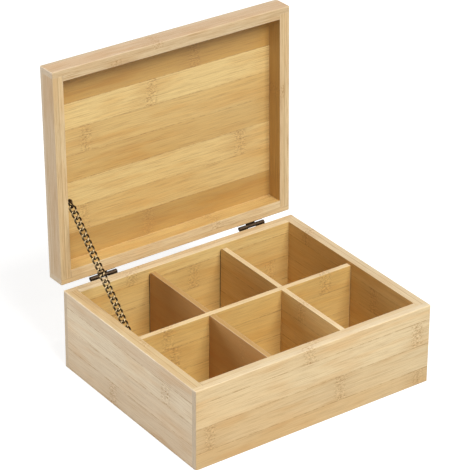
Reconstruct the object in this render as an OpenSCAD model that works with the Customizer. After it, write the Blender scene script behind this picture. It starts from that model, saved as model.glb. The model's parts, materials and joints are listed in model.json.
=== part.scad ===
// Tea bag box: a bamboo case with six compartments and a lid that a chain holds open.
// All sizes are in millimetres. X runs along the front, Y towards the hinges and Z up.
// The origin is the middle of the underside that the case stands on.
// The lid is drawn as it stands open; it turns about the hinge pins to close.

/* [Case] */
// Outer width of the case
box_w = 220; // [180:1:270]
// Outer depth of the case
box_d = 180; // [150:1:220]
// Height of the case walls
box_h = 69; // [56:0.5:90]
// Thickness of a wall board
wall_t = 9.5; // [8:0.25:12]
// Outer layer of a front or back board, which runs on over the ends of the side boards
tongue_t = 4.75; // [3.5:0.25:5.5]
// Thickness of the bottom panel
bottom_t = 4; // [3:0.5:6]
// Depth of the rebate in the walls that holds the bottom panel
bottom_rebate = 4.5; // [2.5:0.25:5]
// Rounding of the outer edges
edge_r = 0.9; // [0.4:0.1:1.5]
// Rounding of the inner edges of the rims
inner_edge_r = 0.4; // [0.2:0.1:0.8]
// Gap round a board that is let into another
joint_clearance = 0.1; // [0.05:0.05:0.3]

/* [Dividers] */
// Thickness of the dividers
divider_t = 4.5; // [3.5:0.25:7]
// How far the dividers stop below the rim
divider_drop = 2.5; // [1:0.5:8]
// Gap between the back ends of the cross dividers and the back wall
divider_back_gap = 0.9; // [0.3:0.1:2]
// Gap between the other divider ends and the walls
divider_end_gap = 0.2; // [0.1:0.1:0.6]
// Rounding of the top corners of the cross dividers
cross_corner_r = 3; // [1:0.5:6]
// Rounding of the top corners of the long divider
long_corner_r = 0.8; // [0.4:0.1:3]

/* [Lid] */
// Height of the lid's frame rails
rail_h = 14.5; // [11.5:0.5:20]
// Width of the front and side rails
rail_w = 9.5; // [8:0.25:12]
// Width of the back rail, which takes the hinge screws
back_rail_w = 11; // [9.5:0.25:14]
// Thickness of the panel that covers the frame
panel_t = 3; // [2.5:0.25:5]
// Gap between the lid and the case when closed
lid_gap = 0.5; // [0.3:0.1:1]
// Angle at which the chain stops the open lid
open_angle = 91.5; // [85:0.5:105]

/* [Hinges] */
// Length of a hinge
hinge_l = 24.5; // [20:0.5:36]
// Distance from the middle of the case to the middle of each hinge
hinge_x = 71.5; // [50:0.5:76]
// Distance from the back of the case to the hinge axis
axis_out = 2.4; // [2.1:0.1:3]
// Outer diameter of the hinge barrel
barrel_d = 3.2; // [2.8:0.1:3.8]
// Diameter of the hinge pin
pin_d = 1.6; // [1.2:0.1:2]
// Running gap round the hinge pin
pin_clearance = 0.05; // [0.02:0.01:0.1]
// Gap between two knuckles
knuckle_gap = 0.2; // [0.1:0.05:0.4]
// Thickness of a hinge leaf
leaf_t = 0.9; // [0.7:0.1:1]
// Distance from the hinge axis to the far edge of a leaf
leaf_reach = 10; // [8:0.5:11]
// Rounding of the outer corners of a leaf
leaf_corner_r = 1.5; // [0.5:0.25:3]
// Distance between the two screws of a leaf
screw_spacing = 15; // [11:0.5:18]
// Distance from the hinge axis to the screws
screw_from_axis = 6; // [5:0.25:7]

/* [Screws] */
// Diameter of a hinge screw's shank
screw_d = 1.8; // [1.4:0.1:2.2]
// Length of a hinge screw's shank
screw_l = 7; // [5:0.5:8]
// Diameter of a hinge screw's head
screw_head_d = 3.6; // [3:0.1:4.2]
// Height of a hinge screw's domed head
screw_head_h = 1; // [0.6:0.1:1.4]
// Gap round a shank in wood or in a leaf
screw_clearance = 0.05; // [0.02:0.01:0.15]

/* [Chain] */
// Distance between the middles of two chain links, before it is trued to a whole count
link_pitch = 4.8; // [4:0.1:7]
// Outer width of a link
link_w = 6; // [5:0.1:7.2]
// Diameter of the link wire
wire_d = 1.5; // [1.1:0.05:1.8]
// Gap left where two links hang in each other
link_gap = 0.05; // [0.02:0.01:0.2]
// Gap between the chain and the wall that it runs along
chain_gap = 0.5; // [0.2:0.1:2]
// Distance from the back of the case to the chain's screw in the case
box_anchor_back = 78.5; // [66:0.5:79]
// Distance from the rim of the case down to the chain's screw
box_anchor_drop = 14; // [8:0.5:24]
// Distance from the back of the lid to the chain's screw in the lid
lid_anchor_back = 67.5; // [50:0.5:72]
// Distance from the lid's rim up to the chain's screw
lid_anchor_up = 3.6; // [3.2:0.1:8]
// Diameter of a chain screw's neck
neck_d = 1.6; // [1.2:0.1:1.8]
// Diameter of a chain screw's head
chain_head_d = 4.2; // [3.6:0.1:5]
// Height of a chain screw's domed head
chain_head_h = 1.2; // [0.8:0.1:1.6]
// Length of a chain screw in the wood
chain_screw_l = 6; // [4:0.5:7]

/* [Hidden] */

arc_fn = 48;      // facets that a small round is drawn with
eps = 1;          // overrun of a cut past the face that it opens
pilot_extra = 0.2; // how much deeper a hole in wood is than its screw

// Case
half_w = box_w / 2;
half_d = box_d / 2;
inner_x = half_w - wall_t;
inner_y = half_d - wall_t;
side_end_y = half_d - tongue_t;

// Dividers
divider_top = box_h - divider_drop;
divider_h = divider_top - bottom_t;
slot_w = divider_t + 2 * joint_clearance;
slot_z = bottom_t + divider_h / 2;
divider_edge_r = 0.4;
cell_w = (2 * inner_x - 2 * divider_t) / 3;
cross_x = cell_w / 2 + divider_t / 2;
cross_front_y = -inner_y + divider_end_gap;
cross_back_y = inner_y - divider_back_gap;

// Lid, in the place where it lies closed
rim_z = box_h + lid_gap;
rail_top = rim_z + rail_h;
lid_top = rail_top + panel_t;
lid_inner_x = half_w - rail_w;

// Hinge axis, halfway up the gap between the case and the lid
axis_y = half_d + axis_out;
axis_z = box_h + lid_gap / 2;
barrel_r = barrel_d / 2;
knuckle_l = (hinge_l - 2 * knuckle_gap) / 3;
bore_r = pin_d / 2 + pin_clearance;
leaf_edge_gap = 0.35; // from the barrel to the near edge of a leaf
leaf_edge = barrel_r + leaf_edge_gap;
web_end = 0.6;    // how far short of the axis a leaf's web ends, as a share of barrel_r
pin_head_d = 2.4;
pin_head_h = 0.5;
pin_play = 0.05;  // gap between a head of the pin and the end of the barrel
outer_knuckles = [[-hinge_l / 2, -hinge_l / 2 + knuckle_l],
                  [hinge_l / 2 - knuckle_l, hinge_l / 2]];
middle_knuckle = [[-knuckle_l / 2, knuckle_l / 2]];

// Screws
slot_depth = 0.5;
slot_l = 2.2;
tip_l_ratio = 0.8;    // length of a screw's tip, as a share of its shank's diameter
tip_end_ratio = 0.25; // diameter of the tip's end, as a share of the shank's

// Chain, a straight line between its two screws while the lid is open
anchor_x = max(-inner_x, -lid_inner_x) + chain_gap + link_w / 2;
box_anchor = [half_d - box_anchor_back, box_h - box_anchor_drop];
lid_anchor_closed = [half_d - lid_anchor_back, rim_z + lid_anchor_up];
lid_anchor = turned(lid_anchor_closed);
chain_span = norm(lid_anchor - box_anchor);
chain_rise = atan2(lid_anchor[1] - box_anchor[1], lid_anchor[0] - box_anchor[0]);
link_count = round((chain_span + neck_d) / link_pitch);
pitch = (chain_span + neck_d + link_gap) / link_count;
link_centre_w = link_w - wire_d;
leg_step = 0.002; // the legs' length is a whole number of these, so that they meet the bends
link_leg = round((pitch + wire_d + link_gap - link_centre_w) / leg_step) * leg_step;
first_link = (pitch - link_gap) / 2 - neck_d / 2;
link_turn = link_count % 2 == 1 ? 90 : 90 - 90 / (link_count - 1);
link_play = 0.2;  // play of an end link under its screw's head

// Length of a chain screw's neck, where it stands out of a wood face at x = wall_x
function neck_l(wall_x) = anchor_x + wire_d / 2 + link_play - wall_x;

// A point of the closed lid, as [y, z], turned about the hinge axis to where it stands open
function turned(p) =
    let (y = p[0] - axis_y, z = p[1] - axis_z)
    [axis_y + y * cos(open_angle) + z * sin(open_angle),
     axis_z - y * sin(open_angle) + z * cos(open_angle)];

// Turns what is drawn in the closed lid's place to where it stands open
module opened() {
    translate([0, axis_y, axis_z])
        rotate([-open_angle, 0, 0])
            translate([0, -axis_y, -axis_z])
                children();
}

// A flat rectangle from [x0, y0] to [x1, y1] whose corners have radii r = [low left,
// low right, high right, high left]
module soft_rect(x0, y0, x1, y1, r) {
    corners = [[x0, y0, 1, 1, r[0]], [x1, y0, -1, 1, r[1]],
               [x1, y1, -1, -1, r[2]], [x0, y1, 1, -1, r[3]]];
    difference() {
        translate([x0, y0])
            square([x1 - x0, y1 - y0]);
        for (c = corners)
            if (c[4] > 0)
                translate([c[0], c[1]])
                    corner_waste(c[2], c[3], c[4]);
    }
}

// What a rounding of radius r takes off a corner that opens towards [sx, sy]
module corner_waste(sx, sy, r) {
    over = r / 10;
    difference() {
        translate([sx > 0 ? -over : -r, sy > 0 ? -over : -r])
            square([r + over, r + over]);
        translate([sx * r, sy * r])
            circle(r = r, $fn = arc_fn);
    }
}

// Extrudes a shape drawn in Y and Z along X, from x0 to x1
module along_x(x0, x1) {
    translate([x0, 0, 0])
        rotate([90, 0, 90])
            linear_extrude(x1 - x0)
                children();
}

// Extrudes a shape drawn in X and Z along Y, from y0 to y1
module along_y(y0, y1) {
    translate([0, y1, 0])
        rotate([90, 0, 0])
            linear_extrude(y1 - y0)
                children();
}

// A box from corner a to corner b
module block(a, b) {
    translate(a)
        cube(b - a);
}

// A hole of radius r and length l, from point p on towards the direction that turn points Z to
module bore(p, turn, r, l) {
    translate(p)
        rotate(turn)
            translate([0, 0, -eps])
                cylinder(r = r, h = l + eps, $fn = arc_fn);
}

// A full-width board at the front, with a rebate at each end for the side boards.
// It stands between z0 and z1 and is t thick; the radii are those of the outer low,
// outer high, inner high and inner low edges
module full_board(t, end_x, z0, z1, r_out_low, r_out_high, r_in_high, r_in_low) {
    difference() {
        intersection() {
            along_x(-half_w, half_w)
                soft_rect(-half_d, z0, -half_d + t, z1,
                          [r_out_low, r_in_low, r_in_high, r_out_high]);
            translate([0, 0, z0])
                linear_extrude(z1 - z0)
                    soft_rect(-half_w, -half_d, half_w, half_d, [edge_r, edge_r, 0, 0]);
            along_y(-half_d, half_d)
                soft_rect(-half_w, z0, half_w, z1,
                          [r_out_low, r_out_low, r_out_high, r_out_high]);
        }
        for (s = [-1, 1])
            on_side(s)
                block([end_x, -half_d + tongue_t, z0 - eps],
                      [half_w + eps, -half_d + t + eps, z1 + eps]);
    }
}

// Mirrors what is drawn on the right to the left when s is negative
module on_side(s) {
    mirror([s < 0 ? 1 : 0, 0, 0])
        children();
}

// A side board on the left, which ends against the tongues of the front and back boards
module side_board(t, z0, z1, r_out_low, r_out_high, r_in_high, r_in_low) {
    along_y(-side_end_y, side_end_y)
        soft_rect(-half_w, z0, -half_w + t, z1,
                  [r_out_low, r_in_low, r_in_high, r_out_high]);
}

// The space that the bottom panel is let into
module bottom_space(gap) {
    x = inner_x + bottom_rebate + gap;
    y = inner_y + bottom_rebate + gap;
    block([-x, -y, -eps], [x, y, bottom_t]);
}

// The front or back wall of the case before anything is screwed to it
module case_wall() {
    difference() {
        full_board(wall_t, inner_x, 0, box_h, edge_r, edge_r, inner_edge_r, 0);
        bottom_space(joint_clearance);
    }
}

// The left or right wall of the case before anything is screwed to it
module case_side() {
    difference() {
        side_board(wall_t, 0, box_h, edge_r, edge_r, inner_edge_r, 0);
        bottom_space(joint_clearance);
    }
}

module box_front() {
    color("burlywood")
        case_wall();
}

module box_back() {
    color("burlywood")
        difference() {
            mirror([0, 1, 0])
                case_wall();
            box_screw_places()
                bore([0, 0, 0], [0, 0, 0], screw_d / 2 + screw_clearance,
                     screw_l + pilot_extra);
        }
}

module box_left() {
    color("tan")
        difference() {
            case_side();
            bore([-inner_x, box_anchor[0], box_anchor[1]], [0, -90, 0],
                 neck_d / 2 + screw_clearance, chain_screw_l + pilot_extra);
        }
}

module box_right() {
    color("tan")
        mirror([1, 0, 0])
            case_side();
}

module box_bottom() {
    x = inner_x + bottom_rebate;
    y = inner_y + bottom_rebate;
    color("wheat")
        block([-x, -y, 0], [x, y, bottom_t]);
}

// The long divider lies over the cross dividers: its slots open downwards
module long_divider() {
    end_x = inner_x - divider_end_gap;
    color("peru")
        difference() {
            intersection() {
                along_y(-divider_t / 2, divider_t / 2)
                    soft_rect(-end_x, bottom_t, end_x, divider_top,
                              [0, 0, long_corner_r, long_corner_r]);
                along_x(-end_x, end_x)
                    soft_rect(-divider_t / 2, bottom_t, divider_t / 2, divider_top,
                              [0, 0, divider_edge_r, divider_edge_r]);
            }
            for (x = [-cross_x, cross_x])
                block([x - slot_w / 2, -divider_t, bottom_t - eps],
                      [x + slot_w / 2, divider_t, slot_z + joint_clearance]);
        }
}

// A cross divider at x, whose slot opens upwards
module cross_divider(x) {
    difference() {
        intersection() {
            along_x(x - divider_t / 2, x + divider_t / 2)
                soft_rect(cross_front_y, bottom_t, cross_back_y, divider_top,
                          [0, 0, cross_corner_r, cross_corner_r]);
            along_y(cross_front_y, cross_back_y)
                soft_rect(x - divider_t / 2, bottom_t, x + divider_t / 2, divider_top,
                          [0, 0, divider_edge_r, divider_edge_r]);
        }
        block([x - divider_t, -slot_w / 2, slot_z],
              [x + divider_t, slot_w / 2, divider_top + eps]);
    }
}

module cross_divider_left() {
    color("sienna")
        cross_divider(-cross_x);
}

module cross_divider_right() {
    color("sienna")
        cross_divider(cross_x);
}

// Lid: a frame of four rails under a panel
module lid_front_rail() {
    color("navajowhite")
        opened()
            full_board(rail_w, lid_inner_x, rim_z, rail_top, edge_r, 0, 0, inner_edge_r);
}

module lid_back_rail() {
    color("navajowhite")
        opened()
            difference() {
                mirror([0, 1, 0])
                    full_board(back_rail_w, lid_inner_x, rim_z, rail_top,
                               edge_r, 0, 0, inner_edge_r);
                lid_screw_places()
                    bore([0, 0, 0], [0, 0, 0], screw_d / 2 + screw_clearance,
                         screw_l + pilot_extra);
            }
}

module lid_side() {
    side_board(rail_w, rim_z, rail_top, edge_r, 0, 0, inner_edge_r);
}

module lid_left_rail() {
    color("moccasin")
        opened()
            difference() {
                lid_side();
                bore([-lid_inner_x, lid_anchor_closed[0], lid_anchor_closed[1]],
                     [0, -90, 0], neck_d / 2 + screw_clearance,
                     chain_screw_l + pilot_extra);
            }
}

module lid_right_rail() {
    color("moccasin")
        opened()
            mirror([1, 0, 0])
                lid_side();
}

module lid_panel() {
    color("khaki")
        opened()
            intersection() {
                translate([0, 0, rail_top])
                    linear_extrude(panel_t)
                        soft_rect(-half_w, -half_d, half_w, half_d,
                                  [edge_r, edge_r, edge_r, edge_r]);
                along_y(-half_d, half_d)
                    soft_rect(-half_w, rail_top, half_w, lid_top, [0, 0, edge_r, edge_r]);
                along_x(-half_w, half_w)
                    soft_rect(-half_d, rail_top, half_d, lid_top, [0, 0, edge_r, edge_r]);
            }
}

// Hinges. A leaf is drawn as the one on the case, about x = 0; the lid's is its mirror
// image above the axis. A knuckle runs from the first x to the second of each span
module leaf(spans) {
    difference() {
        union() {
            along_y(half_d, half_d + leaf_t)
                soft_rect(-hinge_l / 2, axis_z - leaf_reach, hinge_l / 2, axis_z - leaf_edge,
                          [leaf_corner_r, leaf_corner_r, 0, 0]);
            for (s = spans)
                along_x(s[0], s[1]) {
                    polygon([[half_d, axis_z - leaf_edge - leaf_t],
                             [half_d + leaf_t, axis_z - leaf_edge - leaf_t],
                             [axis_y, axis_z - barrel_r],
                             [axis_y, axis_z - barrel_r * web_end],
                             [half_d, axis_z - barrel_r * web_end]]);
                    translate([axis_y, axis_z])
                        circle(r = barrel_r, $fn = arc_fn);
                }
        }
        for (s = spans)
            translate([s[0] - eps, axis_y, axis_z])
                rotate([0, 90, 0])
                    cylinder(r = bore_r, h = s[1] - s[0] + 2 * eps, $fn = arc_fn);
        for (x = [-screw_spacing / 2, screw_spacing / 2])
            bore([x, half_d, axis_z - screw_from_axis], [-90, 0, 0],
                 screw_d / 2 + 2 * screw_clearance, leaf_t + eps);
    }
}

module box_leaf() {
    color("saddlebrown")
        leaf(outer_knuckles);
}

module lid_leaf() {
    color("brown")
        opened()
            translate([0, 0, 2 * axis_z])
                mirror([0, 0, 1])
                    leaf(middle_knuckle);
}

// A hinge pin with a small domed head at each end
module hinge_pin() {
    cap_r = pin_head_d / 2;
    ball_r = (cap_r * cap_r + pin_head_h * pin_head_h) / (2 * pin_head_h);
    color("dimgray")
        translate([0, axis_y, axis_z])
            rotate([0, 90, 0]) {
                cylinder(r = pin_d / 2, h = hinge_l + pin_head_h, center = true,
                         $fn = arc_fn);
                for (m = [0, 1])
                    mirror([0, 0, m])
                        translate([0, 0, hinge_l / 2 + pin_play])
                            dome(cap_r, pin_head_h, ball_r);
            }
}

// A cap of radius r and height h, standing on z = 0, cut from a ball
module dome(r, h, ball_r) {
    intersection() {
        cylinder(r = r, h = h, $fn = arc_fn);
        translate([0, 0, h - ball_r])
            sphere(r = ball_r, $fn = arc_fn);
    }
}

module hinge_left_box_leaf() {
    translate([-hinge_x, 0, 0])
        box_leaf();
}

module hinge_right_box_leaf() {
    translate([hinge_x, 0, 0])
        box_leaf();
}

module hinge_left_lid_leaf() {
    translate([-hinge_x, 0, 0])
        lid_leaf();
}

module hinge_right_lid_leaf() {
    translate([hinge_x, 0, 0])
        lid_leaf();
}

module hinge_left_pin() {
    translate([-hinge_x, 0, 0])
        hinge_pin();
}

module hinge_right_pin() {
    translate([hinge_x, 0, 0])
        hinge_pin();
}

// Puts children at each hinge screw in the case: Z points into the wood
module box_screw_places() {
    for (h = [-hinge_x, hinge_x], x = [-screw_spacing / 2, screw_spacing / 2])
        translate([h + x, half_d, axis_z - screw_from_axis])
            rotate([90, 0, 0])
                children();
}

// Puts children at each hinge screw in the closed lid
module lid_screw_places() {
    translate([0, 0, 2 * axis_z])
        mirror([0, 0, 1])
            box_screw_places()
                children();
}

// A screw with a domed, cross-slotted head. Its head stands above z = -under and its
// shank runs on along Z to z = l
module dome_screw(under, l, d, head_d, head_h) {
    tip_l = d * tip_l_ratio;
    head_r = head_d / 2;
    ball_r = (head_r * head_r + head_h * head_h) / (2 * head_h);
    translate([0, 0, -under])
        cylinder(r = d / 2, h = l + under - tip_l, $fn = arc_fn);
    translate([0, 0, l - tip_l])
        cylinder(r1 = d / 2, r2 = d / 2 * tip_end_ratio, h = tip_l, $fn = arc_fn);
    difference() {
        translate([0, 0, -under])
            mirror([0, 0, 1])
                dome(head_r, head_h, ball_r);
        for (a = [45, 135])
            translate([0, 0, -under - head_h])
                rotate([0, 0, a])
                    cube([slot_l, slot_depth, 2 * slot_depth], center = true);
    }
}

module box_hinge_screws() {
    color("goldenrod")
        box_screw_places()
            dome_screw(leaf_t, screw_l, screw_d, screw_head_d, screw_head_h);
}

module lid_hinge_screws() {
    color("goldenrod")
        opened()
            lid_screw_places()
                dome_screw(leaf_t, screw_l, screw_d, screw_head_d, screw_head_h);
}

// A chain screw in a wood face at x. Its head is out in the open and the end link hangs
// on its neck
module chain_screw(x, p) {
    color("darkgoldenrod")
        translate([x, p[0], p[1]])
            rotate([0, -90, 0])
                dome_screw(neck_l(x), chain_screw_l, neck_d, chain_head_d, chain_head_h);
}

module chain_box_screw() {
    chain_screw(-inner_x, box_anchor);
}

module chain_lid_screw() {
    opened()
        chain_screw(-lid_inner_x, lid_anchor_closed);
}

// One oval link about the origin, long along Z and flat in X and Z
module link() {
    bend_r = link_centre_w / 2;
    for (m = [0, 1])
        mirror([0, 0, m])
            translate([0, 0, link_leg / 2])
                rotate([90, 0, 0])
                    rotate_extrude(angle = 180, $fn = arc_fn)
                        translate([bend_r, 0])
                            circle(r = wire_d / 2, $fn = arc_fn / 2);
    for (s = [-1, 1])
        translate([s * bend_r, 0, -link_leg / 2])
            cylinder(r = wire_d / 2, h = link_leg, $fn = arc_fn / 2);
}

// The chain: both end links lie flat to the walls. Each link is turned a quarter turn from
// the last, or a little less, so that an even count of links ends flat too
module chain() {
    color("darkslategray")
        translate([anchor_x, box_anchor[0], box_anchor[1]])
            rotate([chain_rise - 90, 0, 0])
                for (i = [0 : link_count - 1])
                    translate([0, 0, first_link + i * pitch])
                        rotate([0, 0, 90 + i * link_turn])
                            link();
}

box_front();
box_back();
box_left();
box_right();
box_bottom();
long_divider();
cross_divider_left();
cross_divider_right();
lid_front_rail();
lid_back_rail();
lid_left_rail();
lid_right_rail();
lid_panel();
hinge_left_box_leaf();
hinge_left_lid_leaf();
hinge_left_pin();
hinge_right_box_leaf();
hinge_right_lid_leaf();
hinge_right_pin();
box_hinge_screws();
lid_hinge_screws();
chain();
chain_box_screw();
chain_lid_screw();
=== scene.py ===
# %% [markdown]
# # A bamboo tea box with a chain stay
# The box has a case with six compartments, a shallow lid on two small hinges and a chain
# that stops the lid when it stands open. Its boards, hinges and screws come ready made as
# exact solids. This lesson gives them their finish, and it makes the chain link by link.
# Everything is in metres: X runs along the front, Y towards the hinges and Z up.

# %% Load the solids
import json
import math
import random

import bmesh
import bpy
from mathutils import Matrix, Vector

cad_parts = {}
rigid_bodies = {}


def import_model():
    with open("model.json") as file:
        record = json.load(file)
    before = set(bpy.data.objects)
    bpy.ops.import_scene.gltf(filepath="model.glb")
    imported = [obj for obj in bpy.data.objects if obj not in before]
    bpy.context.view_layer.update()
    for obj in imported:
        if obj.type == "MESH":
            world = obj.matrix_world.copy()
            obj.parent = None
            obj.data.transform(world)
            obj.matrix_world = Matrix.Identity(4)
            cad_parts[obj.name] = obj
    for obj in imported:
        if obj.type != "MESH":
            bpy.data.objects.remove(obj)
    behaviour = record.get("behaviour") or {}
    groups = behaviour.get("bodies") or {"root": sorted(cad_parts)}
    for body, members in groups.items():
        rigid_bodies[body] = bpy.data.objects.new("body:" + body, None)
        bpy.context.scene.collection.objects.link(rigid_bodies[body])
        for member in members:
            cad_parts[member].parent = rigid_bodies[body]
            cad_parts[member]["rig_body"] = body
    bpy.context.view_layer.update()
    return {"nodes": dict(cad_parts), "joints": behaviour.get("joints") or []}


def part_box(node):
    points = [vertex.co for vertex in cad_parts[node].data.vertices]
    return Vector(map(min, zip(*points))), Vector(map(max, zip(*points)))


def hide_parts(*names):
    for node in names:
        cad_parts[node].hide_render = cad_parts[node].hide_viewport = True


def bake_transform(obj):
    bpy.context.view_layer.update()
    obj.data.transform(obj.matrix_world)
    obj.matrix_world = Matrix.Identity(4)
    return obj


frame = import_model()
solids = frame["nodes"]
MM = 0.001

# %% [markdown]
# ## The camera
# A product photographer stands well back with a long lens, so that the edges of the box
# stay almost parallel. The camera looks from the front left and from above. Its place is
# written as an angle round the box, a height angle and a distance, because those three
# are easy to judge; a small shift to the side and upwards then frames the box.

# %% Set up the camera
CAMERA_AZIMUTH = math.radians(-35.76)
CAMERA_ELEVATION = math.radians(28.64)
CAMERA_ROLL = math.radians(0.47)
CAMERA_DISTANCE = 1.9896
CAMERA_SIDEWAYS, CAMERA_UPWARDS = -0.0083, 0.1088
CAMERA_LENS = 194.19


def place_camera():
    """Makes the camera and points it at the box."""
    back = Vector((math.sin(CAMERA_AZIMUTH) * math.cos(CAMERA_ELEVATION),
                   -math.cos(CAMERA_AZIMUTH) * math.cos(CAMERA_ELEVATION),
                   math.sin(CAMERA_ELEVATION)))
    level = (-back).cross(Vector((0, 0, 1))).normalized()
    upright = level.cross(-back)
    right = level * math.cos(CAMERA_ROLL) + upright * math.sin(CAMERA_ROLL)
    up = upright * math.cos(CAMERA_ROLL) - level * math.sin(CAMERA_ROLL)
    camera = bpy.data.objects.new("camera", bpy.data.cameras.new("camera"))
    camera.data.lens = CAMERA_LENS
    camera.data.clip_end = 20
    turn = Matrix((right, up, back)).transposed().to_4x4()
    spot = back * CAMERA_DISTANCE + right * CAMERA_SIDEWAYS + up * CAMERA_UPWARDS
    camera.matrix_world = Matrix.Translation(spot) @ turn
    bpy.context.scene.collection.objects.link(camera)
    bpy.context.scene.camera = camera
    return camera


print("camera at", [round(v, 3) for v in place_camera().matrix_world.translation])

# %% [markdown]
# ## Wiring nodes with few words
# A material is a net of nodes. Written out in full, each node takes several lines, which
# hides the formula that the net stands for. A few helpers keep it short: `put` adds a
# node and feeds its inputs, `calc` adds one sum, and `step` fades a value from 0 to 1.
# The others mix two colours or numbers and make noise.

# %% Helpers for node nets
def feed(tree, socket, value):
    """Links value to socket if it is a socket itself, and otherwise sets it."""
    if isinstance(value, bpy.types.NodeSocket):
        tree.links.new(value, socket)
    else:
        socket.default_value = value


def put(tree, kind, feeds=(), **settings):
    """Adds a node. feeds gives its inputs, as a list in order or as a dict by name."""
    node = tree.nodes.new("ShaderNode" + kind)
    for name, value in settings.items():
        setattr(node, name, value)
    pairs = feeds.items() if isinstance(feeds, dict) else enumerate(feeds)
    for key, value in pairs:
        feed(tree, node.inputs[key], value)
    return node


def calc(tree, operation, *values, clamp=False):
    """One Math node; returns its result."""
    return put(tree, "Math", values, operation=operation, use_clamp=clamp).outputs[0]


def step(tree, value, start, end, low=0.0, high=1.0):
    """Fades smoothly from low at start to high at end."""
    node = put(tree, "MapRange", interpolation_type="SMOOTHSTEP")
    for socket, given in zip(node.inputs, (value, start, end, low, high)):
        feed(tree, socket, given)
    return node.outputs[0]


def blend_colors(tree, share, first, second, mode="MIX"):
    """Goes from the first colour to the second as share goes from 0 to 1."""
    node = put(tree, "Mix", data_type="RGBA", blend_type=mode)
    for index, given in ((0, share), (6, first), (7, second)):
        feed(tree, node.inputs[index], given)
    return node.outputs[2]


def blend_values(tree, share, first, second):
    """Goes from the first number to the second as share goes from 0 to 1."""
    return put(tree, "Mix", {0: share, 2: first, 3: second}).outputs[0]


def noise(tree, place, scale, detail=2.0, roughness=0.5):
    """Noise from 0 to 1, about 0.5, at a place that is stretched by scale."""
    stretched = put(tree, "VectorMath", (place, scale), operation="MULTIPLY").outputs[0]
    feeds = {"Vector": stretched, "Scale": 1.0, "Detail": detail, "Roughness": roughness}
    return put(tree, "TexNoise", feeds).outputs[0]


print("node helpers ready")

# %% [markdown]
# ## Stamps for effects
# Grain, end grain and patina are needed on many pieces. Such an effect could be copied
# into every material, but then a change has to be made many times. A node group is made
# once, like a rubber stamp, and each material places it with values of its own.

# %% Helpers for node groups
def new_group(name, inputs, outputs):
    """An empty node group with named sockets; returns (group, its inputs, its output node)."""
    group = bpy.data.node_groups.new(name, "ShaderNodeTree")
    for in_out, sockets in (("INPUT", inputs), ("OUTPUT", outputs)):
        for socket_name, kind in sockets.items():
            group.interface.new_socket(name=socket_name, in_out=in_out,
                                       socket_type="NodeSocket" + kind)
    entry = group.nodes.new("NodeGroupInput")
    leave = group.nodes.new("NodeGroupOutput")
    return group, entry.outputs, leave.inputs


def use_group(tree, group, feeds):
    """Places a node group in a tree and feeds it by name; returns its outputs."""
    node = tree.nodes.new("ShaderNodeGroup")
    node.node_tree = group
    for name, value in feeds.items():
        feed(tree, node.inputs[name], value)
    return node.outputs


print("group helpers ready")

# %% [markdown]
# ## Where the strips of a board lie
# A bamboo board is glued up from flat strips about 20 mm wide, laid side by side. This
# group takes the distance across the board and says which strip a point is in and how
# far it is from the nearest glue joint. Both are needed more than once: a strip has one
# tone all over, and a thin dark line comes and goes along the joints.

# %% Group: strips
STRIP_SLOTS = 16


def make_strips_group():
    group, given, out = new_group(
        "bamboo_strips",
        {"Across": "Float", "First Joint": "Float", "Strip Width": "Float"},
        {"Strip": "Float", "Joint Distance": "Float"})
    past = calc(group, "SUBTRACT", given["Across"], given["First Joint"])
    count = calc(group, "DIVIDE", past, given["Strip Width"])
    whole = calc(group, "FLOOR", count)
    part = calc(group, "SUBTRACT", count, whole)
    nearer = calc(group, "MINIMUM", part, calc(group, "SUBTRACT", 1.0, part))
    feed(group, out["Joint Distance"],
         calc(group, "MULTIPLY", nearer, given["Strip Width"]))
    slot_middle = calc(group, "ADD", whole, 1.5)
    feed(group, out["Strip"], calc(group, "DIVIDE", slot_middle, float(STRIP_SLOTS)))
    return group


strips_group = make_strips_group()
print("made", strips_group.name)

# %% [markdown]
# ## The fibres of bamboo
# Bamboo has no rings. Its wood is a pale ground with thousands of dark fibres that run
# dead straight along the strip. A photograph of bamboo could be wrapped on the boards,
# but it would repeat, so the pattern is worked out from the place on the board. Noise
# that is stretched thirty to seventy times along the grain makes broad streaks and fine
# fibres, and a finer noise makes short pores. Noise scales are in waves per millimetre
# along, across and through the board.

# %% Fibres
def fibre_marks(group, place):
    """How much streaks, fibres and pores darken a point, and the fibres by themselves."""
    streaks = noise(group, place, (0.032, 1.05, 0.8), 4.0, 0.75)
    fibres = noise(group, place, (0.04, 2.6, 1.8), 2.0, 0.6)
    pores = noise(group, place, (0.3, 5.5, 4.0), 2.0, 0.6)
    dark_streaks = calc(group, "MULTIPLY", step(group, streaks, 0.42, 0.82), 0.42)
    dark_fibres = calc(group, "MULTIPLY", step(group, fibres, 0.5, 0.72), 0.42)
    dark_pores = calc(group, "MULTIPLY", step(group, pores, 0.56, 0.8), 0.22)
    dark = calc(group, "ADD", dark_streaks, calc(group, "ADD", dark_fibres, dark_pores))
    return dark, fibres


print("fibres: streaks about", round(1 / 1.05, 1), "mm wide and", round(1 / 0.032), "mm long")

# %% [markdown]
# ## The nodes of bamboo
# Every 15 to 30 cm a node crosses the strip, where a ring ran round the stem. There the
# fibres break up into short dashes, some dark and some pale, and the ground around turns
# a little darker. A picture of one node would look the same on every strip. Here, the
# distance to a node fades the dashes in, and a slow noise bends the node's line.

# %% Nodes
NODE_BAND = (7.5, 3.2)
NODE_HALO = (24.0, 3.0)
NODE_SCAR = (1.3, 0.3)
NODE_WAVE = 5.0


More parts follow.
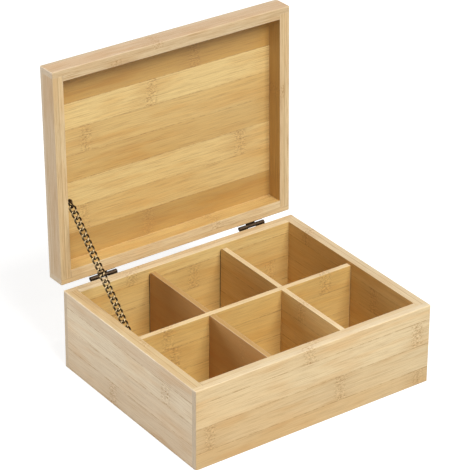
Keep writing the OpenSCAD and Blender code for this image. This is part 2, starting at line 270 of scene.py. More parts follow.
def node_marks(group, place, given):
    """How much a node darkens a point, and its pale dashes."""
    wobble = noise(group, place, (0.02, 0.35, 0.2))
    waved = calc(group, "MULTIPLY_ADD", wobble, NODE_WAVE, given["Along"])
    to_a = calc(group, "ABSOLUTE", calc(group, "SUBTRACT", waved, given["Node A"]))
    to_b = calc(group, "ABSOLUTE", calc(group, "SUBTRACT", waved, given["Node B"]))
    to_node = calc(group, "MINIMUM", to_a, to_b)
    band = step(group, to_node, *NODE_BAND)
    halo = step(group, to_node, *NODE_HALO)
    scar = step(group, to_node, *NODE_SCAR)
    dashes = noise(group, place, (0.5, 1.05, 0.8), 2.0, 0.7)
    dark_dashes = calc(group, "MULTIPLY", band, step(group, dashes, 0.5, 0.62))
    pale_dashes = calc(group, "MULTIPLY", band, step(group, dashes, 0.46, 0.36))
    dark = calc(group, "ADD", calc(group, "MULTIPLY", dark_dashes, 0.5),
                calc(group, "MULTIPLY", halo, 0.12))
    return calc(group, "MULTIPLY_ADD", scar, 0.1, dark), pale_dashes


print("a node's band is", 2 * NODE_BAND[0], "mm wide")

# %% [markdown]
# ## Bamboo, put together
# The ground goes from a pale colour to an amber one in slow clouds, and here and there
# it blushes pink. Fibres, nodes and joints then darken it towards the fibre colour. The
# dark parts are also a little rougher and lie a little deeper, since the finish sinks
# into them.

# %% Group: bamboo
PINK_BLUSH = (0.88, 0.70, 0.50, 1)


def make_bamboo_group():
    group, given, out = new_group(
        "bamboo",
        {"Along": "Float", "Across": "Float", "Through": "Float", "Seed": "Float",
         "Tone": "Float", "Warmth": "Float", "Node A": "Float", "Node B": "Float",
         "Joint Distance": "Float", "Pale": "Color", "Amber": "Color",
         "Fibre Color": "Color", "Fibres": "Float"},
        {"Color": "Color", "Roughness": "Float", "Height": "Float"})
    shifted = calc(group, "ADD", given["Along"], calc(group, "MULTIPLY", given["Seed"], 37.0))
    deep = calc(group, "ADD", given["Through"], calc(group, "MULTIPLY", given["Seed"], 11.0))
    place = put(group, "CombineXYZ", (shifted, given["Across"], deep)).outputs[0]
    clouds = noise(group, place, (0.011, 0.05, 0.05))
    bands = noise(group, place, (0.006, 0.42, 0.3), 3.0, 0.6)
    blush = noise(group, place, (0.02, 0.11, 0.1))
    fibre_dark, fibres = fibre_marks(group, place)
    node_dark, pale_dashes = node_marks(group, place, given)

    cloudy = calc(group, "SUBTRACT", clouds, 0.5)
    warm = calc(group, "MULTIPLY_ADD", cloudy, 0.9, given["Warmth"], clamp=True)
    ground = blend_colors(group, warm, given["Pale"], given["Amber"])
    pink = step(group, blush, 0.46, 0.72, 0.0, 0.45)
    ground = blend_colors(group, pink, ground, PINK_BLUSH, "MULTIPLY")
    tone = calc(group, "MULTIPLY_ADD", calc(group, "SUBTRACT", bands, 0.5), 0.16,
                given["Tone"])
    tone = calc(group, "MULTIPLY_ADD", cloudy, 0.14, tone)
    lit = calc(group, "MULTIPLY_ADD", pale_dashes, 0.14, tone)
    toned = put(group, "VectorMath", operation="SCALE")
    feed(group, toned.inputs[0], ground)
    feed(group, toned.inputs["Scale"], lit)

    dotted = noise(group, place, (0.16, 0.02, 0.02), 3.0, 0.7)
    joint = step(group, given["Joint Distance"], 0.6, 0.1)
    joint = calc(group, "MULTIPLY", joint, step(group, dotted, 0.4, 0.62, 0.12, 0.6))
    dark = calc(group, "MULTIPLY", fibre_dark, given["Fibres"])
    dark = calc(group, "ADD", dark, calc(group, "ADD", node_dark, joint), clamp=True)
    feed(group, out["Color"],
         blend_colors(group, dark, toned.outputs[0], given["Fibre Color"]))

    rough = calc(group, "MULTIPLY_ADD", fibres, 0.14, 0.36)
    feed(group, out["Roughness"], calc(group, "MULTIPLY_ADD", dark, 0.12, rough))
    raised = calc(group, "MULTIPLY_ADD", bands, 0.5, calc(group, "MULTIPLY", pale_dashes, 0.3))
    feed(group, out["Height"], calc(group, "SUBTRACT", raised, dark))
    return group


bamboo_group = make_bamboo_group()
print("made", bamboo_group.name, "with", len(bamboo_group.nodes), "nodes")

# %% [markdown]
# ## End grain, and pale edges with a painted highlight
# Where a board is sawn across, its fibres are cut off and show as small dots on a
# darker, greyer ground. The group takes how squarely a face looks along the grain.
# The long edges are eased with fine paper after glueing, which leaves them a little
# paler, and they are lightened a little more as a painted highlight, where the rounded
# edge catches the light. A point is near an edge if it is close to two faces at once, so
# the middle one of its three distances to the board's faces is its distance to the
# nearest edge.

# %% Groups: end grain and edge highlight
def make_end_grain_group():
    group, given, out = new_group(
        "end_grain",
        {"Across": "Float", "Through": "Float", "Facing": "Float", "Color": "Color"},
        {"Color": "Color", "Cut": "Float"})
    place = put(group, "CombineXYZ", (given["Across"], given["Through"], 0.0)).outputs[0]
    dots = noise(group, place, (2.6, 2.6, 1.0), 2.0, 0.6)
    layers = noise(group, place, (0.16, 0.9, 1.0), 2.0)
    shade = calc(group, "MULTIPLY_ADD", step(group, dots, 0.5, 0.7), -0.22, 0.86)
    shade = calc(group, "MULTIPLY_ADD", calc(group, "SUBTRACT", layers, 0.5), 0.35, shade)
    sawn = put(group, "VectorMath", operation="SCALE")
    feed(group, sawn.inputs[0], given["Color"])
    feed(group, sawn.inputs["Scale"], shade)
    feed(group, out["Color"], sawn.outputs[0])
    feed(group, out["Cut"], step(group, given["Facing"], 0.55, 0.9))
    return group


def make_sanded_edge_highlight_group():
    group, given, out = new_group(
        "eased_edges",
        {"Place": "Vector", "Half Size": "Vector", "Width": "Float"}, {"Edge": "Float"})
    size = put(group, "VectorMath", (given["Place"],), operation="ABSOLUTE").outputs[0]
    inside = put(group, "VectorMath", (given["Half Size"], size), operation="SUBTRACT")
    a, b, c = put(group, "SeparateXYZ", (inside.outputs[0],)).outputs
    low, high = calc(group, "MINIMUM", a, b), calc(group, "MAXIMUM", a, b)
    middle = calc(group, "MAXIMUM", low, calc(group, "MINIMUM", high, c))
    feed(group, out["Edge"], step(group, middle, given["Width"], 0.15))
    return group


end_grain_group = make_end_grain_group()
sanded_edge_highlight_group = make_sanded_edge_highlight_group()
print("made", end_grain_group.name, "and", sanded_edge_highlight_group.name)

# %% [markdown]
# ## A plan of strips for every board
# The maker sorts the strips by eye, so neighbours differ: some are honey coloured, some
# almost straw. A colour ramp with hard steps works as a table that a material can read.
# Each step is one strip, and its four channels hold the strip's tone, the places of up
# to two nodes along it, and how warm its colour is.

# %% Strip plans as colour ramps
NO_NODE = -30.0


def ramp_of_strips(tree, strips, length, strip_socket):
    """A ramp that holds (tone, warmth, node places...) for each strip of a board."""
    ramp = put(tree, "ValToRGB", (strip_socket,))
    ramp.color_ramp.interpolation = "CONSTANT"
    elements = ramp.color_ramp.elements
    while len(elements) > 1:
        elements.remove(elements[-1])
    for index, (tone, warmth, *places) in enumerate(strips):
        spot = index / STRIP_SLOTS
        element = elements[0] if index == 0 else elements.new(spot)
        element.position = spot
        a, b = (list(places) + [NO_NODE, NO_NODE])[:2]
        channels = [(p - NO_NODE) / (length - 2 * NO_NODE) for p in (a, b)]
        element.color = (tone, channels[0], channels[1], warmth)
    return ramp


def read_strips(tree, ramp, length):
    """Tone, warmth and the two node places in millimetres, read from a ramp of strips."""
    tone, a, b = put(tree, "SeparateColor", (ramp.outputs["Color"],)).outputs
    span = length - 2 * NO_NODE
    places = [calc(tree, "MULTIPLY_ADD", p, span, NO_NODE) for p in (a, b)]
    return tone, ramp.outputs["Alpha"], *places


def sorted_strips(seed, count, length, warmth=(0.2, 0.7)):
    """A likely plan for a board that is seen less: one or two nodes on each strip."""
    draw = random.Random(seed)
    plan = []
    for _ in range(count):
        first = draw.uniform(0.05, 1.1) * length
        plan.append((draw.uniform(0.86, 1.0), draw.uniform(*warmth), first,
                     first + draw.uniform(120, 170)))
    return plan


print("a strip plan holds up to", STRIP_SLOTS, "strips")

# %% [markdown]
# ## Measuring along, across and through a board
# The pattern needs each point's place in the board itself: how far along the grain, how
# far across the strips and how deep from the outer face. The lid stands open, so its
# boards are first turned back to where they lie when it is shut. The numbers come from
# the solids themselves, which keeps the strips in step with the boards.

# %% Board coordinates
hinge = frame["joints"][0]
HINGE_POINT = Vector(hinge["pos_m"])
OPEN_ANGLE = math.radians(hinge["range_deg"][1])
AXES = {"X": 0, "Y": 1, "Z": 2}


def closing(body):
    """The turn that brings a solid to where it lies when the lid is shut."""
    if body == "case":
        return Matrix.Identity(4)
    return (Matrix.Translation(HINGE_POINT) @ Matrix.Rotation(OPEN_ANGLE, 4, "X")
            @ Matrix.Translation(-HINGE_POINT))


def board_box(name):
    """Middle and half size of a board, with the lid shut, and its closing turn."""
    solid = solids[name]
    turn = closing(solid["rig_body"])
    points = [turn @ v.co for v in solid.data.vertices]
    low = Vector([min(p[i] for p in points) for i in range(3)])
    high = Vector([max(p[i] for p in points) for i in range(3)])
    return (low + high) / 2, (high - low) / 2, turn


def board_place(tree, name):
    """Sockets for the place in a board, in millimetres from its middle, and its normal."""
    middle, half, turn = board_box(name)
    coords = put(tree, "TexCoord").outputs
    rotation = turn.to_euler()
    offset = (turn.translation - middle) / MM
    feeds = (coords["Object"], offset, rotation, (1 / MM,) * 3)
    place = put(tree, "Mapping", feeds, vector_type="POINT").outputs[0]
    normal = put(tree, "Mapping", (coords["Normal"], (0, 0, 0), rotation, (1, 1, 1)),
                 vector_type="POINT").outputs[0]
    return place, normal, half / MM


for name in ("box_front", "lid_panel"):
    print(name, "half size in mm:", [round(v / MM, 2) for v in board_box(name)[1]])

# %% [markdown]
# ## The colours of the boards
# Freshly planed bamboo is straw coloured; steamed bamboo is darker, like honey or
# caramel, and the maker mixes both. Each board goes from a pale colour to an amber one.
# The outer faces are paler than the inner ones, and the rims are sanded and greyer.

# %% Colours of bamboo
STRAW, HONEY = (0.84, 0.67, 0.40, 1), (0.74, 0.50, 0.23, 1)
GOLD, CARAMEL = (0.80, 0.59, 0.25, 1), (0.64, 0.375, 0.105, 1)
BUTTER, TOFFEE = (0.87, 0.66, 0.28, 1), (0.70, 0.435, 0.12, 1)
RIM_STRAW, RIM_HONEY = (0.78, 0.65, 0.44, 1), (0.71, 0.53, 0.29, 1)
FIBRE = (0.40, 0.22, 0.075, 1)
END_GRAIN = (0.70, 0.54, 0.36, 1)
# Pale colour of the eased edges, which also serves as a painted highlight on them.
PALE_EDGE_HIGHLIGHT = (0.74, 0.62, 0.45, 1)
LAYER_LINE = (0.36, 0.20, 0.07, 1)
# Brown of the painted shadow in the gap behind each cross divider's end.
PAINTED_SHADOW_BROWN = (0.07, 0.035, 0.015, 1)
print("colours: outer", STRAW[:3], "inner", GOLD[:3])

# %% [markdown]
# ## One layer of strips
# A layer is a row of strips glued side by side. Its plan says where the first joint
# lies, how wide a strip is and what each strip looks like. The colour of a real board
# often drifts along its length, and `drift` says how far it goes from amber to pale.

# %% A layer of strips
def strip_layer(tree, place, rim, seed, plan, colors, rim_colors, length, fibres, drift):
    """One layer of strips: plan is (first joint, strip width, strips)."""
    along, across, through = place
    first, width, strips = plan
    grid = use_group(tree, strips_group,
                     {"Across": across, "First Joint": first, "Strip Width": width})
    ramp = ramp_of_strips(tree, strips, length, grid["Strip"])
    tone, warmth, node_a, node_b = read_strips(tree, ramp, length)
    if drift:
        paling = calc(tree, "MULTIPLY_ADD", along, -drift / length, drift / 2)
        warmth = calc(tree, "ADD", warmth, paling)
    pale, amber = [blend_colors(tree, rim, face, top) for face, top in zip(colors, rim_colors)]
    return use_group(tree, bamboo_group, {
        "Along": along, "Across": across, "Through": through, "Seed": seed,
        "Tone": tone, "Warmth": warmth, "Node A": node_a, "Node B": node_b,
        "Joint Distance": grid["Joint Distance"], "Pale": pale, "Amber": amber,
        "Fibre Color": FIBRE, "Fibres": fibres})


print("a layer is ready to be placed in each board")

# %% [markdown]
# ## Bamboo boards
# Each wall is two layers thick: a paler outer one and a golden inner one, glued face to
# face. The line between them shows on the rims. One material function serves all the
# boards: it reads the two strip plans, picks the one for the layer that a point is in,
# and adds the glue line, the end grain, the pale eased edges with their painted highlight
# and the stripes of painted shadow.

# %% Board material
OUTWARD = {"box_front": "-Y", "box_left": "-X", "lid_front_rail": "-Y", "lid_left_rail": "-X"}
LAYER = 4.75
INNER_SEED_SHIFT = 5.0
GLUE_LINE = (0.4, 0.1)
# These two pairs shape the stripes of painted shadow: their width along the board and where
# they start below its top.
SHADOW_STRIPE_SIDE, SHADOW_STRIPE_TOP = (2.4, 2.0), (4.0, 6.5)
SQUARE_ON = (0.55, 0.9)
EDGE_HIGHLIGHT_WIDTH, EDGE_HIGHLIGHT_SHARE = 0.9, 0.22
GRAIN_DEPTH = 0.06 * MM


def board_material(name, along, across, seed, outer, inner=None,
                   outer_colors=(STRAW, HONEY), inner_colors=(BUTTER, TOFFEE),
                   rim_colors=(RIM_STRAW, RIM_HONEY), line=0.5, fibres=1.0, drift=0.0,
                   gaps=()):
    """Bamboo for one board. along and across are axes with a sign: along "+X" counts from
    the board's low X end, and across "-Z" from its top. outer and inner are strip plans,
    and the last argument gives places along the board where a dark stripe is painted on
    the inner side: painted shadow for the shaded gap behind a divider's end."""
    material = bpy.data.materials.new(name + "_bamboo")
    material.use_nodes = True
    tree = material.node_tree
    shader = tree.nodes["Principled BSDF"]
    place, normal, half = board_place(tree, name)
    xyz = put(tree, "SeparateXYZ", (place,)).outputs
    facing = put(tree, "SeparateXYZ", (normal,)).outputs

    def measured(axis):
        """Millimetres from the face that the signed axis starts at."""
        index = AXES[axis[1]]
        sign = 1.0 if axis[0] == "+" else -1.0
        return calc(tree, "MULTIPLY_ADD", xyz[index], sign, half[index])

    def squareness(axis):
        """How squarely the surface faces along an axis, from 0 to 1."""
        return calc(tree, "ABSOLUTE", facing[AXES[axis[1]]])

    thin = ({"X", "Y", "Z"} - {along[1], across[1]}).pop()
    out = OUTWARD.get(name, "+" + thin)
    through = measured(("+" if out[0] == "-" else "-") + thin)
    along_mm, across_mm = measured(along), measured(across)
    length = 2 * half[AXES[along[1]]]
    spot = (along_mm, across_mm, through)
    rim = step(tree, squareness(across), *SQUARE_ON)
    look = strip_layer(tree, spot, rim, seed, outer, outer_colors, rim_colors, length,
                       fibres, drift)
    color, rough, height = look["Color"], look["Roughness"], look["Height"]
    if inner:
        deep = strip_layer(tree, spot, rim, seed + INNER_SEED_SHIFT, inner, inner_colors,
                           rim_colors, length, fibres, 0.0)
        side = step(tree, through, LAYER - 0.05, LAYER + 0.05)
        color = blend_colors(tree, side, color, deep["Color"])
        rough = blend_values(tree, side, rough, deep["Roughness"])
        away = calc(tree, "ABSOLUTE", calc(tree, "SUBTRACT", through, LAYER))
        glue = calc(tree, "MULTIPLY", step(tree, away, *GLUE_LINE), line)
        color = blend_colors(tree, glue, color, LAYER_LINE)
    # Painted shadow: a dark stripe on the inner face behind each cross divider's end, where
    # the small gap lies in shade.
    for middle in gaps:
        away = calc(tree, "ABSOLUTE", calc(tree, "SUBTRACT", along_mm, middle))
        stripe = calc(tree, "MULTIPLY", step(tree, away, *SHADOW_STRIPE_SIDE),
                      step(tree, across_mm, *SHADOW_STRIPE_TOP))
        stripe = calc(tree, "MULTIPLY", stripe, step(tree, through, LAYER, LAYER + 2.0))
        color = blend_colors(tree, stripe, color, PAINTED_SHADOW_BROWN)

    cut = use_group(tree, end_grain_group, {
        "Across": across_mm, "Through": through, "Color": END_GRAIN,
        "Facing": squareness(along)})
    color = blend_colors(tree, cut["Cut"], color, cut["Color"])
    # Pale edges: partly the sanding, partly a painted highlight on the rounded edges.
    edge = use_group(tree, sanded_edge_highlight_group, {
        "Place": place, "Half Size": tuple(half), "Width": EDGE_HIGHLIGHT_WIDTH})["Edge"]
    color = blend_colors(tree, calc(tree, "MULTIPLY", edge, EDGE_HIGHLIGHT_SHARE), color, PALE_EDGE_HIGHLIGHT)

    feed(tree, shader.inputs["Base Color"], color)
    feed(tree, shader.inputs["Roughness"], rough)
    bump = put(tree, "Bump", {"Strength": 0.35, "Distance": GRAIN_DEPTH, "Height": height})
    feed(tree, shader.inputs["Normal"], bump.outputs[0])
    return material


def finish_board(name, *args, **kwargs):
    """Gives a board its own bamboo."""
    solid = solids[name]
    solid.data.materials.clear()
    solid.data.materials.append(board_material(name, *args, **kwargs))


print("a wall's outer layer is", LAYER, "mm thick")

# %% [markdown]
# ## The walls of the case
# The front board has four strips: two pale ones above, a darker one with two nodes, and
# a warm narrow one at the bottom. It grows paler towards the right. The left board is
# greyer, with one almost white strip. Sides that are seldom seen are planned by chance.
# Behind the ends of the cross dividers the back wall has a narrow dark stripe: painted
# shadow for the small gap there, which lies in shade.

# %% Walls
def divider_places():
    """Distances from the left end of the back wall to the middles of the cross dividers."""
    middle, half, _ = board_box("box_back")
    return [(board_box(name)[0].x - middle.x + half.x) / MM
            for name in ("cross_divider_left", "cross_divider_right")]


# A darker gold for boards whose seen face turns away from the light: painted shade.
PAINTED_SHADE_GOLD = ((0.80, 0.57, 0.25, 1), (0.64, 0.38, 0.11, 1))
LEFT_COLORS = ((0.80, 0.66, 0.46, 1), (0.72, 0.53, 0.34, 1))
LEFT_RIMS = ((0.72, 0.57, 0.34, 1), (0.66, 0.48, 0.25, 1))
finish_board("box_front", "+X", "-Z", 1.0,
             (12.5, 21.3, [(0.99, 0.25, 106), (1.0, 0.22, 210), (0.94, 0.5, 15, 136),
                           (0.92, 0.75, 213)]),
             (12.0, 21.0, sorted_strips(11, 4, 220)), line=0.12, drift=0.45)
finish_board("box_left", "-Y", "-Z", 2.0,
             (13.0, 18.2, [(0.95, 0.5), (1.0, 0.05, 138), (0.96, 0.4), (0.93, 0.55, 66)]),
             (10.0, 21.0, sorted_strips(12, 4, 180)), outer_colors=LEFT_COLORS,
             rim_colors=LEFT_RIMS)
finish_board("box_back", "+X", "-Z", 3.0,
             (9.0, 21.5, sorted_strips(13, 4, 220)),
             (10.0, 21.0, [(1.0, 0.2, 60), (0.97, 0.45, 119), (0.96, 0.5, 195, 40),
                           (0.96, 0.5)]), gaps=divider_places())
# The inner face of the right wall turns from the light, so it gets the darker gold of painted
# shade.
finish_board("box_right", "-Y", "-Z", 4.0,
             (15.0, 20.0, sorted_strips(14, 4, 180)),
             (11.0, 21.0, [(0.96, 0.5, 30), (0.94, 0.7, 120), (0.95, 0.6), (0.95, 0.6)]),
             inner_colors=PAINTED_SHADE_GOLD)
finish_board("box_bottom", "+X", "+Y", 5.0,
             (14.0, 22.0, sorted_strips(15, 9, 210, warmth=(0.3, 0.8))),
             outer_colors=(BUTTER, TOFFEE))
print("walls and bottom done; dark stripes at", [round(v, 1) for v in divider_places()], "mm")

# %% [markdown]
# ## The dividers
# The dividers are single layers, 4.5 mm thick. The long one is golden, like the inside
# of the walls. The left cross divider is the darkest board in the box, and its top has
# stayed brown; the tops of the others are pale, like the rims. Part of the left divider's
# darkness is painted shade, and the right one gets a darker gold as painted shade,
# because their seen faces turn away from the light.

# %% Dividers
PALE_TOP = ((0.84, 0.68, 0.42, 1), (0.80, 0.60, 0.33, 1))
BROWN_TOP = ((0.62, 0.40, 0.16, 1), (0.52, 0.31, 0.11, 1))
# Chestnut wood of the left cross divider, darkened further as painted shade for its face that
# turns from the light.
CHESTNUT_AND_SHADE = ((0.58, 0.345, 0.14, 1), (0.47, 0.24, 0.078, 1))
finish_board("long_divider", "+X", "-Z", 6.0,
             (18.0, 22.0, [(0.99, 0.55, 28, 178), (0.97, 0.6, 34), (0.97, 0.6, 150)]),
             outer_colors=(BUTTER, TOFFEE), rim_colors=PALE_TOP)
finish_board("cross_divider_left", "-Y", "-Z", 7.0,
             (20.0, 22.0, [(0.92, 0.8, 128), (0.92, 0.8), (0.92, 0.8, 40)]),
             outer_colors=CHESTNUT_AND_SHADE, rim_colors=BROWN_TOP)
finish_board("cross_divider_right", "-Y", "-Z", 8.0,
             (17.0, 22.0, [(0.98, 0.4, 110), (0.97, 0.5), (0.96, 0.5, 40)]),
             outer_colors=PAINTED_SHADE_GOLD, rim_colors=PALE_TOP)
print("dividers done")

# %% [markdown]
# ## The lid
# The lid is a frame of four rails with a 3 mm panel laid over it. The inside of the
# panel is the showpiece of the box: nine strips, most of them 22 mm wide, from straw to
# dark honey. Most have a node, and no two nodes are in line. The rails have coarser
# fibres than the walls, and the front and left ones are redder.

# %% Lid boards
LID_RIMS = ((0.81, 0.645, 0.385, 1), (0.71, 0.495, 0.245, 1))
LID_GOLDS = ((0.72, 0.50, 0.19, 1), (0.56, 0.31, 0.08, 1))
FRONT_RAIL_COLORS = ((0.67, 0.49, 0.31, 1), (0.60, 0.40, 0.22, 1))
FRONT_RAIL_RIMS = ((0.72, 0.57, 0.35, 1), (0.63, 0.44, 0.23, 1))
LEFT_RAIL_COLORS = ((0.70, 0.54, 0.345, 1), (0.60, 0.42, 0.25, 1))
PANEL_RIMS = ((0.66, 0.52, 0.34, 1), (0.6, 0.44, 0.26, 1))
finish_board("lid_front_rail", "+X", "+Z", 9.0,
             (20.0, 30.0, [(0.97, 0.5, 98)]), (20.0, 30.0, [(0.97, 0.35, 60)]),
             outer_colors=FRONT_RAIL_COLORS, inner_colors=LID_GOLDS,
             rim_colors=FRONT_RAIL_RIMS, line=0.2, fibres=1.5)
finish_board("lid_back_rail", "+X", "+Z", 10.0,
             (20.0, 30.0, [(0.95, 0.6)]), (20.0, 30.0, [(1.0, 0.15, 150)]),
             inner_colors=LID_GOLDS, rim_colors=LID_RIMS, line=0.3, fibres=1.5)
finish_board("lid_left_rail", "+Y", "+Z", 11.0,
             (20.0, 30.0, [(0.92, 0.5)]), (20.0, 30.0, [(0.97, 0.45)]),
             outer_colors=LEFT_RAIL_COLORS, inner_colors=LID_GOLDS,
             rim_colors=LID_RIMS, fibres=1.5)
finish_board("lid_right_rail", "+Y", "+Z", 12.0,
             (20.0, 30.0, [(0.97, 0.4)]), (20.0, 30.0, [(0.95, 0.7, 70)]),
             inner_colors=LID_GOLDS, rim_colors=LID_RIMS, fibres=1.5)
finish_board("lid_panel", "+X", "+Y", 13.0,
             (14.0, 22.07, [(0.93, 0.6), (0.90, 1.0, 141), (1.0, 0.0, 100),
                            (0.96, 0.4, 39), (0.93, 0.6), (1.0, 0.1, 184),
                            (0.98, 0.3, 34), (0.84, 0.85, 94), (0.98, 0.45)]),
             outer_colors=(GOLD, CARAMEL), rim_colors=PANEL_RIMS, fibres=1.25)
print("lid done")

# %% [markdown]
# ## Antique bronze
# The hinges, screws and chain have a dark patina that has rubbed off where fingers and
# neighbours touch them. The colour goes from almost black in the hollows to bronze on
# the crowns, the roughness follows it, and a very fine grain breaks up the gloss.

# %% Group: patina
PATINA_DEPTH = 0.02 * MM


def make_patina_group():
    group, given, out = new_group(
        "patina",
        {"Place": "Vector", "Rub": "Float", "Dark": "Color", "Bright": "Color"},
        {"Color": "Color", "Roughness": "Float", "Height": "Float"})
    spots = noise(group, given["Place"], (900.0,) * 3, 3.0, 0.6)
    grains = noise(group, given["Place"], (4200.0,) * 3)
    rub = calc(group, "MULTIPLY_ADD", calc(group, "SUBTRACT", spots, 0.5), 0.9,
               given["Rub"], clamp=True)
    feed(group, out["Color"], blend_colors(group, rub, given["Dark"], given["Bright"]))
    feed(group, out["Roughness"], calc(group, "MULTIPLY_ADD", rub, -0.12, 0.52))
    feed(group, out["Height"], grains)
    return group


patina_group = make_patina_group()
print("made", patina_group.name)

# %% [markdown]
# ## Bronze on the hinges and screws
# The hinges are stamped from sheet and hardly worn, the screw heads are rubbed brighter
# by the screwdriver. Both could share one material, but their wear differs, so the
# function takes the wear as a number, or as a value that is painted on the mesh.

# %% Bronze materials
def bronze_material(name, dark, bright, rub):
    """Patinated bronze. rub is a number, or the name of a mesh attribute that holds it."""
    material = bpy.data.materials.new(name)
    material.use_nodes = True
    tree = material.node_tree
    shader = tree.nodes["Principled BSDF"]
    shader.inputs["Metallic"].default_value = 1.0
    if isinstance(rub, str):
        rub = put(tree, "Attribute", attribute_name=rub).outputs["Fac"]
    look = use_group(tree, patina_group, {
        "Place": put(tree, "TexCoord").outputs["Object"], "Rub": rub,
        "Dark": dark, "Bright": bright})
    feed(tree, shader.inputs["Base Color"], look["Color"])
    feed(tree, shader.inputs["Roughness"], look["Roughness"])
    bump = put(tree, "Bump", {"Strength": 0.3, "Distance": PATINA_DEPTH,
                              "Height": look["Height"]})
    feed(tree, shader.inputs["Normal"], bump.outputs[0])
    return material


DARK_BRONZE = (0.03, 0.02, 0.014, 1)
hinge_bronze = bronze_material("hinge_bronze", DARK_BRONZE, (0.24, 0.16, 0.095, 1), 0.2)
screw_bronze = bronze_material("screw_bronze", DARK_BRONZE, (0.40, 0.28, 0.15, 1), 0.45)
for name, solid in solids.items():
    metal = screw_bronze if "screw" in name else hinge_bronze if "hinge" in name else None
    if metal:
        solid.data.materials.clear()
        solid.data.materials.append(metal)
print("bronze on", sum("hinge" in n or "screw" in n for n in solids), "solids")

# %% [markdown]
# ## The chain
# The stay is a curb chain: every link is an oval that is twisted, so that the chain lies
# flat although its links hook into each other at a right angle. The solids show plain
# ovals, so the chain is made again here. One way is to bend a curve and give it a round
# bevel. Here, the rings of vertices are placed one by one, because each link is twisted
# about the chain's own line and its crowns are then rolled flat. The twist goes from an
# eighth of a turn one way at the lower end to an eighth the other way at the upper end.
# The lower end of the first link thus lies flat to the wall, where it hangs on its screw,
# and the flat side of the chain faces halfway between the wall and the front. Only the
# last link is left untwisted, so that it lies flat to the lid's rail.

# %% One twisted link
WIRE = 1.5 * MM
chain_low, chain_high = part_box("chain")
LINK_WIDTH = chain_high.x - chain_low.x
LINK_PLAY = 0.05 * MM
ROLLED_FLAT = 0.29 * LINK_WIDTH
RING_POINTS, LINK_RINGS = 10, 44
EIGHTH_TURN = math.radians(45)
SIDEWAYS = Vector((0, 1, 0))


def oval_point(share, length, width):
    """A point on a long oval and the direction of the wire there, in X and Z."""
    radius = width / 2
    leg = length - width
    around = 2 * leg + 2 * math.pi * radius
    gone = (share % 1.0) * around
    if gone < leg:
        return Vector((radius, 0, gone - leg / 2)), Vector((0, 0, 1))
    gone -= leg
    if gone < math.pi * radius:
        turn = gone / radius
        return (Vector((radius * math.cos(turn), 0, leg / 2 + radius * math.sin(turn))),
                Vector((-math.sin(turn), 0, math.cos(turn))))
    gone -= math.pi * radius
    if gone < leg:
        return Vector((-radius, 0, leg / 2 - gone)), Vector((0, 0, -1))
    turn = (gone - leg) / radius
    return (Vector((-radius * math.cos(turn), 0, -leg / 2 - radius * math.sin(turn))),
            Vector((math.sin(turn), 0, -math.cos(turn))))


def twisted(point, length):
    """Turns a point about Z by its height: an eighth of a turn at each end of the link."""
    share = max(-1.0, min(1.0, 2 * point.z / length))
    return Matrix.Rotation(-EIGHTH_TURN * share, 3, "Z") @ point


def add_link(mesh, rub, place, length, flat):
    """Adds one link to a bmesh. place moves it from the origin into the chain. A point's
    wear goes into rub: its crowns, which are rolled flat, are rubbed bright."""
    rings = []
    for i in range(LINK_RINGS):
        point, along = oval_point(i / LINK_RINGS, length, LINK_WIDTH - WIRE)
        outward = SIDEWAYS.cross(along)
        ring = []
        for j in range(RING_POINTS):
            turn = 2 * math.pi * j / RING_POINTS
            offset = outward * math.cos(turn) + SIDEWAYS * math.sin(turn)
            spot = point + offset * WIRE / 2
            if not flat:
                spot = twisted(spot, length)
            crown = abs(spot.y) / ROLLED_FLAT
            spot.y = max(-ROLLED_FLAT, min(ROLLED_FLAT, spot.y))
            vertex = mesh.verts.new(place @ spot)
            vertex[rub] = max(0.0, min(1.0, (crown - 0.45) / 0.5))
            ring.append(vertex)
        rings.append(ring)
    for i, ring in enumerate(rings):
        after = rings[(i + 1) % LINK_RINGS]
        for j in range(RING_POINTS):
            k = (j + 1) % RING_POINTS
            mesh.faces.new((ring[j], ring[k], after[k], after[j])).smooth = True


print("a link has", LINK_RINGS * RING_POINTS, "points")

# %% [markdown]
# ## Hanging the chain
# The chain runs straight between its two screws, because the open lid pulls it taut.
# The count of links follows from the distance, as the maker counts off a length of
# chain. The chain is one mesh, laid out for the lid as it stands open.

# %% Make the chain
LINK_PITCH = 4.8 * MM
NECK = 1.6 * MM
DARK_LINK, BRIGHT_LINK = (0.05, 0.03, 0.013, 1), (0.41, 0.30, 0.16, 1)


def middle_of(name):
    low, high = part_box(name)
    return (low + high) / 2


def make_chain():
    """All the links as one piece, from the screw in the case to the screw in the lid."""
    low, high = middle_of("chain_box_screw"), middle_of("chain_lid_screw")
    plane = middle_of("chain").x
    start, end = Vector((plane, low.y, low.z)), Vector((plane, high.y, high.z))
    span = (end - start).length
    count = round((span + NECK) / LINK_PITCH)
    pitch = (span + NECK + LINK_PLAY) / count
    length = pitch + WIRE + LINK_PLAY
    up = (end - start).normalized()
    side = up.cross(Vector((1, 0, 0)))
    turn = Matrix((side, Vector((1, 0, 0)), up)).transposed().to_4x4()
    mesh = bmesh.new()
    rub = mesh.verts.layers.float.new("rub")
    for i in range(count):
        rise = (pitch - LINK_PLAY) / 2 - NECK / 2 + i * pitch
        last = i == count - 1
        tilt = 0 if last else 3 * EIGHTH_TURN
        place = Matrix.Translation(start + up * rise) @ turn @ Matrix.Rotation(tilt, 4, "Z")
        add_link(mesh, rub, place, length, last)
    bmesh.ops.recalc_face_normals(mesh, faces=mesh.faces)
    data = bpy.data.meshes.new("stay_chain")
    mesh.to_mesh(data)
    mesh.free()
    chain = bpy.data.objects.new("stay_chain", data)
    bpy.context.scene.collection.objects.link(chain)
    data.materials.append(bronze_material("chain_bronze", DARK_LINK, BRIGHT_LINK, "rub"))
    print("chain:", count, "links,", round(span / MM, 1), "mm, pitch",
          round(pitch / MM, 2), "mm")
    return chain, start, end


chain, chain_start, chain_end = make_chain()
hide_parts("chain")
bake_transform(chain)

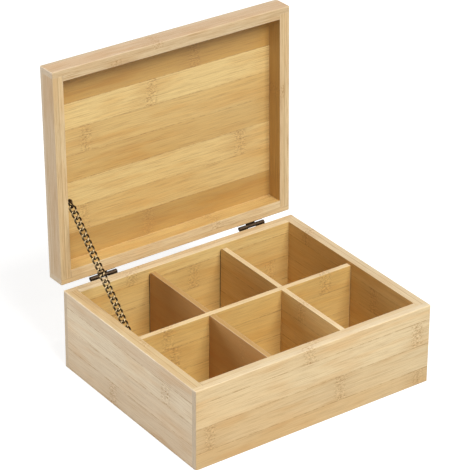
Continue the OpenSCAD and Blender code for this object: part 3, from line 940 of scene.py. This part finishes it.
# %% [markdown]
# ## The table and the room
# The box stands on a white table in a white room. A white floor would throw much light up
# on the box, so the floor is grey and glows a little, which only the camera sees; the
# shadow stays on it. The room itself gives little light, yet it looks white to the
# camera, in reflections and through glass, which the Light Path node sorts out.

# %% Table and room
FLOOR_SIZE = 12
FLOOR_GREY, FLOOR_GLOW = 0.5, 0.7
ROOM_LIGHT = 0.27


def make_floor():
    bpy.ops.mesh.primitive_plane_add(size=FLOOR_SIZE, location=(0, 0, 0))
    floor = bpy.context.object
    floor.name = "floor"
    material = bpy.data.materials.new("white_table")
    material.use_nodes = True
    tree = material.node_tree
    shader = tree.nodes["Principled BSDF"]
    shader.inputs["Base Color"].default_value = (FLOOR_GREY, FLOOR_GREY, FLOOR_GREY, 1)
    shader.inputs["Roughness"].default_value = 0.9
    shader.inputs["Specular IOR Level"].default_value = 0.1
    shader.inputs["Emission Color"].default_value = (1, 1, 1, 1)
    seen = put(tree, "LightPath").outputs["Is Camera Ray"]
    feed(tree, shader.inputs["Emission Strength"], calc(tree, "MULTIPLY", seen, FLOOR_GLOW))
    floor.data.materials.append(material)
    return floor


def make_room():
    world = bpy.data.worlds.new("white_room")
    bpy.context.scene.world = world
    world.use_nodes = True
    tree = world.node_tree
    rays = put(tree, "LightPath").outputs
    seen = calc(tree, "MAXIMUM", rays["Is Camera Ray"],
                calc(tree, "MAXIMUM", rays["Is Glossy Ray"], rays["Is Transmission Ray"]))
    background = tree.nodes["Background"]
    background.inputs["Color"].default_value = (1, 1, 1, 1)
    feed(tree, background.inputs["Strength"], blend_values(tree, seen, ROOM_LIGHT, 1.0))
    return world


print("made", make_floor().name, "and", make_room().name)

# %% [markdown]
# ## The lamps
# The main light is a large soft one in front of the box and above it. A second one
# stands behind on the left: it lights the outer left faces but doesn't reach into the
# box, which the lid shades. One lamp alone would leave the left side too dark, and a
# brighter room would take the depth out of the compartments.

# %% Lamps
def make_lamp(name, place, target, size, power, color=(1, 1, 1)):
    """A square soft box that looks at target."""
    lamp = bpy.data.objects.new(name, bpy.data.lights.new(name, "AREA"))
    lamp.data.size = size
    lamp.data.energy = power
    lamp.data.color = color
    lamp.location = place
    away = Vector(place) - Vector(target)
    lamp.rotation_euler = away.to_track_quat("Z", "Y").to_euler()
    bpy.context.scene.collection.objects.link(lamp)
    return lamp


lamps = [make_lamp("front_light", (0.2, -2.46, 3.15), (0, 0, 0.08), 2.0, 160),
         make_lamp("left_light", (-1.9, 1.7, 0.8), (-0.1, 0, 0.05), 1.2, 43,
                   (0.95, 0.97, 1.0))]
bpy.context.scene.view_settings.view_transform = "Standard"
print("lamps:", [lamp.name for lamp in lamps])
